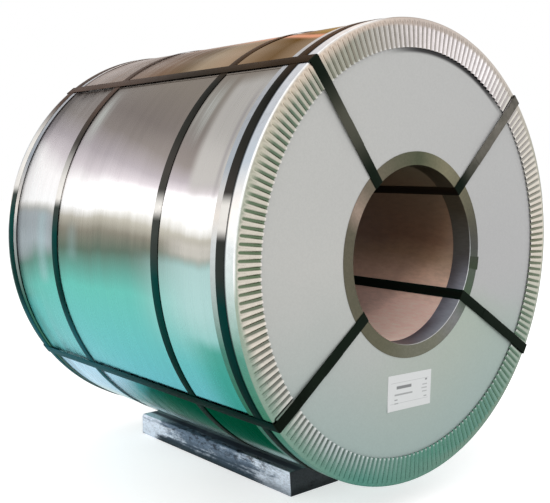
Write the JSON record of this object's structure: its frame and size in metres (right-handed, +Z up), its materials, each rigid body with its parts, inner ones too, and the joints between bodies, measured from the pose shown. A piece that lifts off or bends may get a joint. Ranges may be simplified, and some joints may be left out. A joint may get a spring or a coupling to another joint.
{
  "type": "packed steel coil",
  "caption": "Export-packed steel coil lying with its bore level on two bearers, with fluted steel edge rings and steel strapping.",
  "frame": {"origin": "on the floor, below the middle of the coil: the centre of the bounding box's bottom face", "axes": "+Y along the coil's axis, from the labelled end face towards the other; +Z up; +X to the right as the labelled face is looked at"},
  "size_m": [1.299, 1.2402, 1.3719],
  "materials": {
    "strip": "cold-rolled strip, wound",
    "wrap_sheet": "bright rolled sheet",
    "edge_sheet": "bright galvanised sheet",
    "bore_edge": "satin galvanised sheet",
    "disc_sheet": "matt grey board",
    "liner_board": "smooth fibre board",
    "strapping": "blued and waxed steel strap",
    "label_paper": "white paper",
    "bearer_steel": "dark scale with pale scuffs"
  },
  "bodies": {
    "root": {"coil_body": "strip", "outer_wrap": "wrap_sheet", "bore_liner": "liner_board", "end_disc_front": "disc_sheet", "end_disc_back": "disc_sheet", "outer_edge_ring_front": "edge_sheet", "outer_edge_ring_back": "edge_sheet", "inner_edge_ring_front": "bore_edge", "inner_edge_ring_back": "bore_edge", "girth_strap_1": "strapping", "girth_strap_2": "strapping", "girth_strap_3": "strapping", "girth_strap_4": "strapping", "eye_strap_1": "strapping", "eye_strap_2": "strapping", "eye_strap_3": "strapping", "eye_strap_4": "strapping", "label": "label_paper", "bearer_left": "bearer_steel", "bearer_right": "bearer_steel"}
  },
  "joints": []
}
